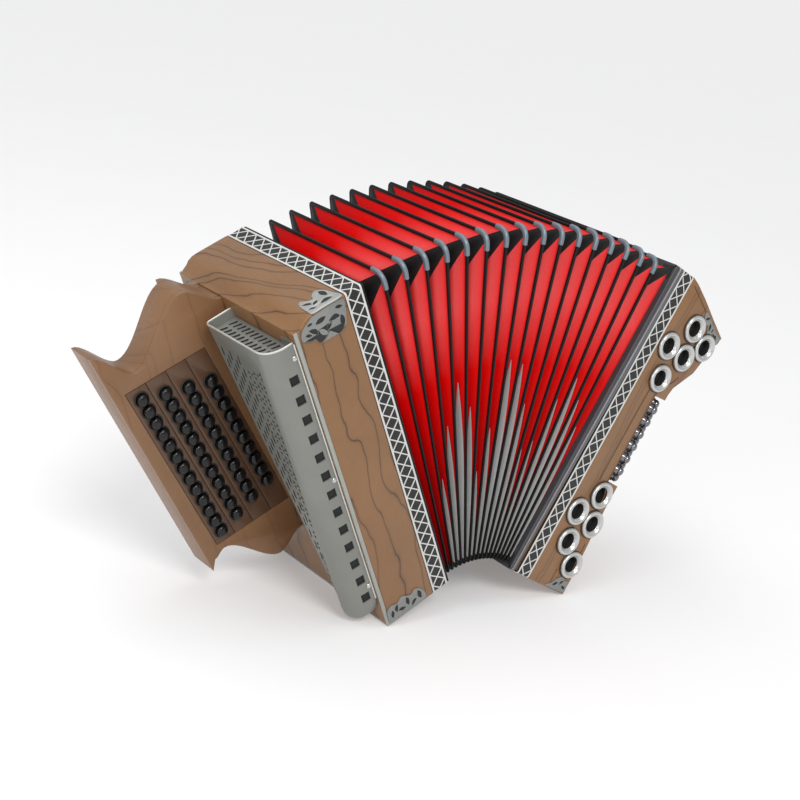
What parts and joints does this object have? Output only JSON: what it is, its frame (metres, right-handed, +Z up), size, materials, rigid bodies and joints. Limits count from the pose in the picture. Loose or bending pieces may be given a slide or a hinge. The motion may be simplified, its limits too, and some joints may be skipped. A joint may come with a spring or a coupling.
{
  "type": "button accordion",
  "caption": "Diatonic button accordion with fanned red bellows, wooden casings, a scrolled fingerboard of domed buttons, a pierced grille and ringed bass horns.",
  "frame": {"origin": "centre of the bounding box's footprint, on the surface the part stands on", "axes": "+X along the bellows from the treble end to the bass end, +Y from the front to the back, +Z up"},
  "size_m": [0.705, 0.2171, 0.4099],
  "materials": {
    "walnut_case": "satin varnish with wavy grain",
    "walnut_board": "satin varnish",
    "dark_wood_panel": "satin dark stain",
    "inlay_lattice": "off-white lattice over black",
    "edge_metal": "brushed",
    "silver_filigree": "pierced and engraved",
    "black_frame": "black lacquer",
    "grey_frame": "dark grey lacquer",
    "grille_metal": "satin",
    "screw_steel": "polished",
    "pallet_felt_wood": "raw wood with felt",
    "lever_steel": "drawn wire",
    "reed_block_spruce": "raw spruce",
    "reed_plate": "machined",
    "strap_eye_metal": "polished",
    "red_bellows_card": "red cloth over card",
    "horn_silver": "polished silver plate",
    "strap_leather": "grained",
    "air_button_metal": "polished",
    "bellows_tape": "black tape with metal corner caps",
    "button_black": "polished domes",
    "bass_button_metal": "dark chrome"
  },
  "bodies": {
    "treble_side": {"treble_casing": "walnut_case", "treble_inlay_band": "inlay_lattice", "treble_edge_band": "edge_metal", "treble_corner_fittings": "silver_filigree", "treble_bellows_frame": "black_frame", "grille": "grille_metal", "grille_top_louvre": "grille_metal", "grille_screws": "screw_steel", "treble_pallets": "pallet_felt_wood", "treble_levers": "lever_steel", "treble_reed_blocks": "reed_block_spruce", "treble_reed_plates": "reed_plate", "fingerboard": "walnut_board", "button_panel": "dark_wood_panel", "shoulder_strap_eyes": "strap_eye_metal", "bellows_skin": "red_bellows_card"},
    "bass_side": {"bass_bellows_frame": "grey_frame", "bass_casing": "walnut_case", "bass_inlay_band": "inlay_lattice", "bass_corner_fittings": "silver_filigree", "bass_horns": "horn_silver", "bass_reed_block": "reed_block_spruce", "bass_reed_plates": "reed_plate", "hand_strap": "strap_leather", "hand_strap_anchors": "strap_eye_metal"},
    "fold_01": {"fold_01": "bellows_tape"},
    "fold_02": {"fold_02": "bellows_tape"},
    "fold_03": {"fold_03": "bellows_tape"},
    "fold_04": {"fold_04": "bellows_tape"},
    "fold_05": {"fold_05": "bellows_tape"},
    "fold_06": {"fold_06": "bellows_tape"},
    "fold_07": {"fold_07": "bellows_tape"},
    "fold_08": {"fold_08": "bellows_tape"},
    "fold_09": {"fold_09": "bellows_tape"},
    "fold_10": {"fold_10": "bellows_tape"},
    "fold_11": {"fold_11": "bellows_tape"},
    "fold_12": {"fold_12": "bellows_tape"},
    "fold_13": {"fold_13": "bellows_tape"},
    "fold_14": {"fold_14": "bellows_tape"},
    "fold_15": {"fold_15": "bellows_tape"},
    "fold_16": {"fold_16": "bellows_tape"},
    "treble_row_1": {"treble_buttons_row_1": "button_black"},
    "treble_row_2": {"treble_buttons_row_2": "button_black"},
    "treble_row_3": {"treble_buttons_row_3": "button_black"},
    "treble_row_4": {"treble_buttons_row_4": "button_black"},
    "bass_button_01": {"bass_button_01": "bass_button_metal"},
    "bass_button_02": {"bass_button_02": "bass_button_metal"},
    "bass_button_03": {"bass_button_03": "bass_button_metal"},
    "bass_button_04": {"bass_button_04": "bass_button_metal"},
    "bass_button_05": {"bass_button_05": "bass_button_metal"},
    "bass_button_06": {"bass_button_06": "bass_button_metal"},
    "bass_button_07": {"bass_button_07": "bass_button_metal"},
    "bass_button_08": {"bass_button_08": "bass_button_metal"},
    "bass_button_09": {"bass_button_09": "bass_button_metal"},
    "bass_button_10": {"bass_button_10": "bass_button_metal"},
    "bass_button_11": {"bass_button_11": "bass_button_metal"},
    "bass_button_12": {"bass_button_12": "bass_button_metal"},
    "bass_button_13": {"bass_button_13": "bass_button_metal"},
    "air_button": {"air_button": "air_button_metal"}
  },
  "joints": [
    {"name": "bellows_fan", "type": "hinge", "parent": "treble_side", "child": "bass_side", "pos_m": [0.05859, 0, 0.05368], "axis": [0, 1, 0], "range_deg": [-54, 0], "deforming": ["bellows_skin"]},
    {"name": "fold_01_fan", "type": "hinge", "parent": "treble_side", "child": "fold_01", "pos_m": [0.02024, 0, 0.04045], "axis": [0, 1, 0], "range_deg": [-3.23, 0.05]},
    {"name": "fold_02_fan", "type": "hinge", "parent": "treble_side", "child": "fold_02", "pos_m": [0.02247, 0, 0.04159], "axis": [0, 1, 0], "range_deg": [-6.4, 0.05]},
    {"name": "fold_03_fan", "type": "hinge", "parent": "treble_side", "child": "fold_03", "pos_m": [0.02472, 0, 0.04268], "axis": [0, 1, 0], "range_deg": [-9.58, 0.05]},
    {"name": "fold_04_fan", "type": "hinge", "parent": "treble_side", "child": "fold_04", "pos_m": [0.02699, 0, 0.04374], "axis": [0, 1, 0], "range_deg": [-12.76, 0.05]},
    {"name": "fold_05_fan", "type": "hinge", "parent": "treble_side", "child": "fold_05", "pos_m": [0.02929, 0, 0.04475], "axis": [0, 1, 0], "range_deg": [-15.93, 0.05]},
    {"name": "fold_06_fan", "type": "hinge", "parent": "treble_side", "child": "fold_06", "pos_m": [0.0316, 0, 0.04573], "axis": [0, 1, 0], "range_deg": [-19.11, 0.05]},
    {"name": "fold_07_fan", "type": "hinge", "parent": "treble_side", "child": "fold_07", "pos_m": [0.03394, 0, 0.04666], "axis": [0, 1, 0], "range_deg": [-22.29, 0.05]},
    {"name": "fold_08_fan", "type": "hinge", "parent": "treble_side", "child": "fold_08", "pos_m": [0.0363, 0, 0.04755], "axis": [0, 1, 0], "range_deg": [-25.46, 0.05]},
    {"name": "fold_09_fan", "type": "hinge", "parent": "treble_side", "child": "fold_09", "pos_m": [0.03869, 0, 0.0484], "axis": [0, 1, 0], "range_deg": [-28.64, 0.05]},
    {"name": "fold_10_fan", "type": "hinge", "parent": "treble_side", "child": "fold_10", "pos_m": [0.04109, 0, 0.04921], "axis": [0, 1, 0], "range_deg": [-31.81, 0.05]},
    {"name": "fold_11_fan", "type": "hinge", "parent": "treble_side", "child": "fold_11", "pos_m": [0.04352, 0, 0.04997], "axis": [0, 1, 0], "range_deg": [-34.99, 0.05]},
    {"name": "fold_12_fan", "type": "hinge", "parent": "treble_side", "child": "fold_12", "pos_m": [0.04598, 0, 0.0507], "axis": [0, 1, 0], "range_deg": [-38.17, 0.05]},
    {"name": "fold_13_fan", "type": "hinge", "parent": "treble_side", "child": "fold_13", "pos_m": [0.04845, 0, 0.05138], "axis": [0, 1, 0], "range_deg": [-41.34, 0.05]},
    {"name": "fold_14_fan", "type": "hinge", "parent": "treble_side", "child": "fold_14", "pos_m": [0.05095, 0, 0.05202], "axis": [0, 1, 0], "range_deg": [-44.52, 0.05]},
    {"name": "fold_15_fan", "type": "hinge", "parent": "treble_side", "child": "fold_15", "pos_m": [0.05347, 0, 0.05262], "axis": [0, 1, 0], "range_deg": [-47.7, 0.05]},
    {"name": "fold_16_fan", "type": "hinge", "parent": "treble_side", "child": "fold_16", "pos_m": [0.05602, 0, 0.05317], "axis": [0, 1, 0], "range_deg": [-50.87, 0.05]},
    {"name": "treble_row_1_press", "type": "slide", "parent": "treble_side", "child": "treble_row_1", "axis": [0, 1, 0], "range_m": [0, 0.0045], "stiffness_N_per_m": 260, "springref_m": -0.003},
    {"name": "treble_row_2_press", "type": "slide", "parent": "treble_side", "child": "treble_row_2", "axis": [0, 1, 0], "range_m": [0, 0.0045], "stiffness_N_per_m": 260, "springref_m": -0.003},
    {"name": "treble_row_3_press", "type": "slide", "parent": "treble_side", "child": "treble_row_3", "axis": [0, 1, 0], "range_m": [0, 0.0045], "stiffness_N_per_m": 260, "springref_m": -0.003},
    {"name": "treble_row_4_press", "type": "slide", "parent": "treble_side", "child": "treble_row_4", "axis": [0, 1, 0], "range_m": [0, 0.0045], "stiffness_N_per_m": 260, "springref_m": -0.003},
    {"name": "bass_button_01_press", "type": "slide", "parent": "bass_side", "child": "bass_button_01", "axis": [-0.6388, 0.7071, 0.3031], "range_m": [0, 0.004], "stiffness_N_per_m": 120, "springref_m": -0.003},
    {"name": "bass_button_02_press", "type": "slide", "parent": "bass_side", "child": "bass_button_02", "axis": [-0.6388, 0.7071, 0.3031], "range_m": [0, 0.004], "stiffness_N_per_m": 120, "springref_m": -0.003},
    {"name": "bass_button_03_press", "type": "slide", "parent": "bass_side", "child": "bass_button_03", "axis": [-0.6388, 0.7071, 0.3031], "range_m": [0, 0.004], "stiffness_N_per_m": 120, "springref_m": -0.003},
    {"name": "bass_button_04_press", "type": "slide", "parent": "bass_side", "child": "bass_button_04", "axis": [-0.6388, 0.7071, 0.3031], "range_m": [0, 0.004], "stiffness_N_per_m": 120, "springref_m": -0.003},
    {"name": "bass_button_05_press", "type": "slide", "parent": "bass_side", "child": "bass_button_05", "axis": [-0.6388, 0.7071, 0.3031], "range_m": [0, 0.004], "stiffness_N_per_m": 120, "springref_m": -0.003},
    {"name": "bass_button_06_press", "type": "slide", "parent": "bass_side", "child": "bass_button_06", "axis": [-0.6388, 0.7071, 0.3031], "range_m": [0, 0.004], "stiffness_N_per_m": 120, "springref_m": -0.003},
    {"name": "bass_button_07_press", "type": "slide", "parent": "bass_side", "child": "bass_button_07", "axis": [-0.6388, 0.7071, 0.3031], "range_m": [0, 0.004], "stiffness_N_per_m": 120, "springref_m": -0.003},
    {"name": "bass_button_08_press", "type": "slide", "parent": "bass_side", "child": "bass_button_08", "axis": [-0.6388, 0.7071, 0.3031], "range_m": [0, 0.004], "stiffness_N_per_m": 120, "springref_m": -0.003},
    {"name": "bass_button_09_press", "type": "slide", "parent": "bass_side", "child": "bass_button_09", "axis": [-0.6388, 0.7071, 0.3031], "range_m": [0, 0.004], "stiffness_N_per_m": 120, "springref_m": -0.003},
    {"name": "bass_button_10_press", "type": "slide", "parent": "bass_side", "child": "bass_button_10", "axis": [-0.6388, 0.7071, 0.3031], "range_m": [0, 0.004], "stiffness_N_per_m": 120, "springref_m": -0.003},
    {"name": "bass_button_11_press", "type": "slide", "parent": "bass_side", "child": "bass_button_11", "axis": [-0.6388, 0.7071, 0.3031], "range_m": [0, 0.004], "stiffness_N_per_m": 120, "springref_m": -0.003},
    {"name": "bass_button_12_press", "type": "slide", "parent": "bass_side", "child": "bass_button_12", "axis": [-0.6388, 0.7071, 0.3031], "range_m": [0, 0.004], "stiffness_N_per_m": 120, "springref_m": -0.003},
    {"name": "bass_button_13_press", "type": "slide", "parent": "bass_side", "child": "bass_button_13", "axis": [-0.6388, 0.7071, 0.3031], "range_m": [0, 0.004], "stiffness_N_per_m": 120, "springref_m": -0.003},
    {"name": "air_button_press", "type": "slide", "parent": "bass_side", "child": "air_button", "axis": [-0.9035, 0, 0.4287], "range_m": [0, 0.004], "stiffness_N_per_m": 120, "springref_m": -0.003}
  ],
  "couplings": [
    {"joint": "fold_01_fan", "follows": "bellows_fan", "ratio": 0.058824},
    {"joint": "fold_02_fan", "follows": "bellows_fan", "ratio": 0.11765},
    {"joint": "fold_03_fan", "follows": "bellows_fan", "ratio": 0.17647},
    {"joint": "fold_04_fan", "follows": "bellows_fan", "ratio": 0.23529},
    {"joint": "fold_05_fan", "follows": "bellows_fan", "ratio": 0.29412},
    {"joint": "fold_06_fan", "follows": "bellows_fan", "ratio": 0.35294},
    {"joint": "fold_07_fan", "follows": "bellows_fan", "ratio": 0.41176},
    {"joint": "fold_08_fan", "follows": "bellows_fan", "ratio": 0.47059},
    {"joint": "fold_09_fan", "follows": "bellows_fan", "ratio": 0.52941},
    {"joint": "fold_10_fan", "follows": "bellows_fan", "ratio": 0.58824},
    {"joint": "fold_11_fan", "follows": "bellows_fan", "ratio": 0.64706},
    {"joint": "fold_12_fan", "follows": "bellows_fan", "ratio": 0.70588},
    {"joint": "fold_13_fan", "follows": "bellows_fan", "ratio": 0.76471},
    {"joint": "fold_14_fan", "follows": "bellows_fan", "ratio": 0.82353},
    {"joint": "fold_15_fan", "follows": "bellows_fan", "ratio": 0.88235},
    {"joint": "fold_16_fan", "follows": "bellows_fan", "ratio": 0.94118}
  ]
}
